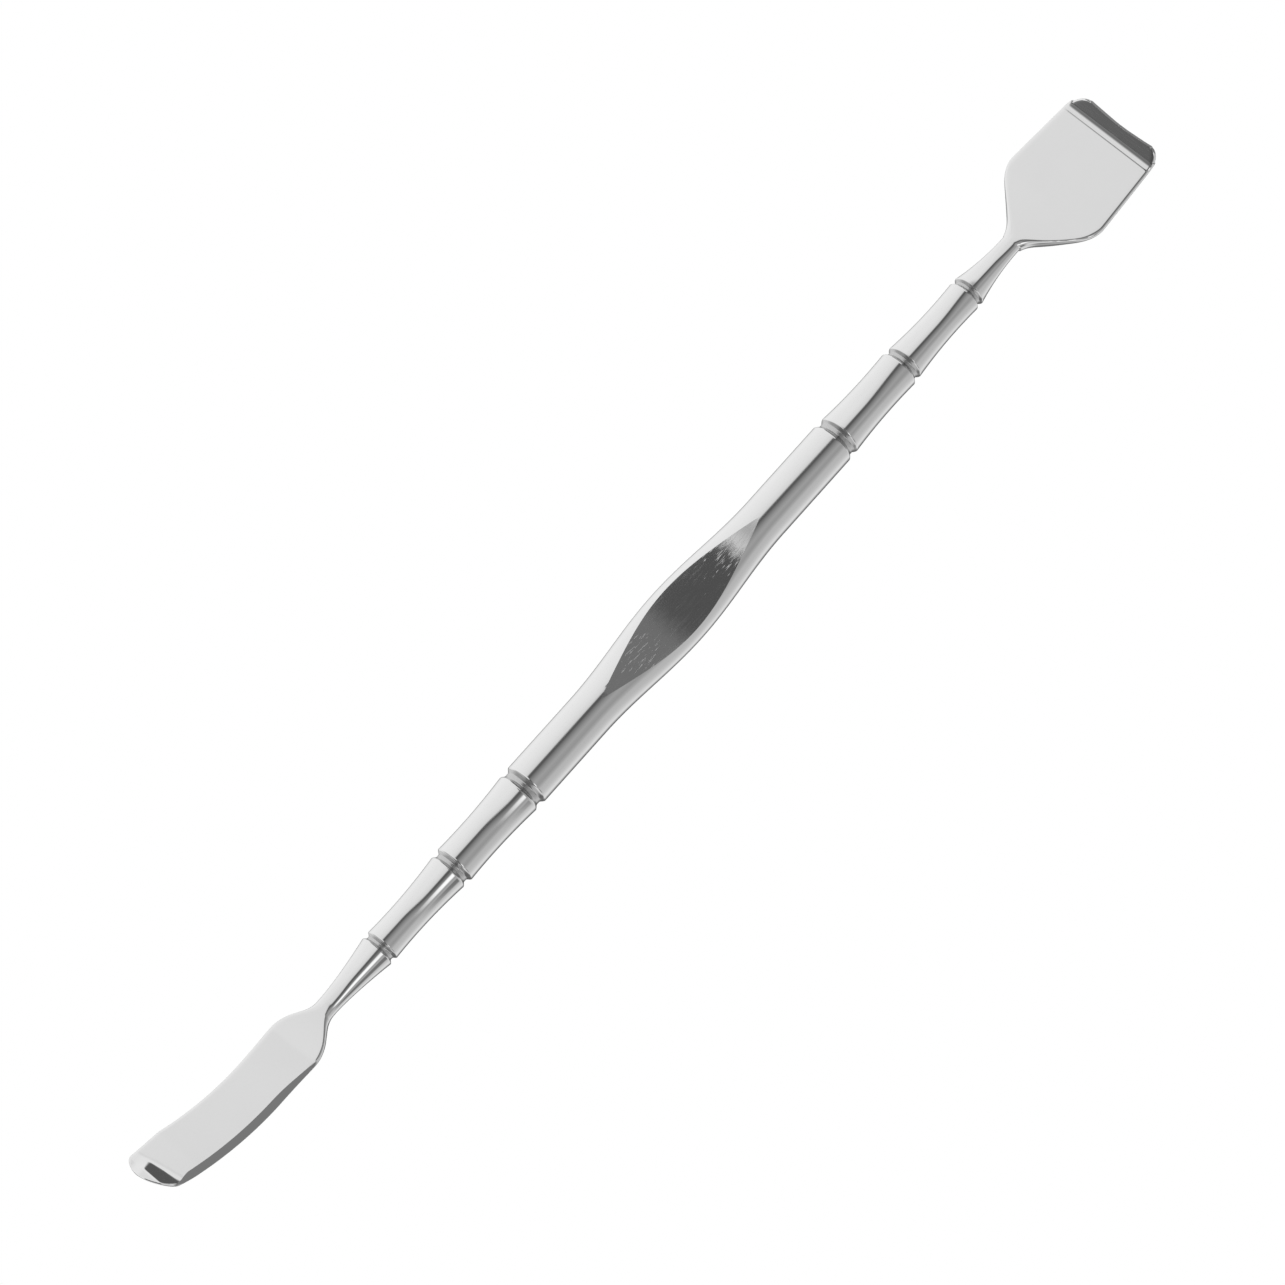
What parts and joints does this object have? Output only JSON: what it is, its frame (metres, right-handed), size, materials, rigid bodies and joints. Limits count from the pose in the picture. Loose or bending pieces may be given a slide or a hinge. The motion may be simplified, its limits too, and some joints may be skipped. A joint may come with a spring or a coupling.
{
  "type": "sculpting spatula",
  "caption": "Double-ended polished steel sculpting spatula: slim bamboo-pattern turned handle with a flat-ground grip, a broad lipped scraper blade and a narrow side-swept blade.",
  "frame": {"origin": "on the handle's axis, midway between its two outermost turned grooves, inside the grip", "axes": "+X along the handle towards the broad lipped blade; +Z out of the grip's ground flat and the blades' working faces; +Y is the side that the narrow blade sweeps towards"},
  "size_m": [0.174, 0.0145, 0.0058],
  "materials": {
    "handle_steel": "mirror-polished turned stainless steel, with finely scratched ground flats",
    "blade_steel": "polished forged stainless steel"
  },
  "bodies": {
    "root": {"handle": "handle_steel", "broad_blade": "blade_steel", "narrow_blade": "blade_steel"}
  },
  "joints": []
}
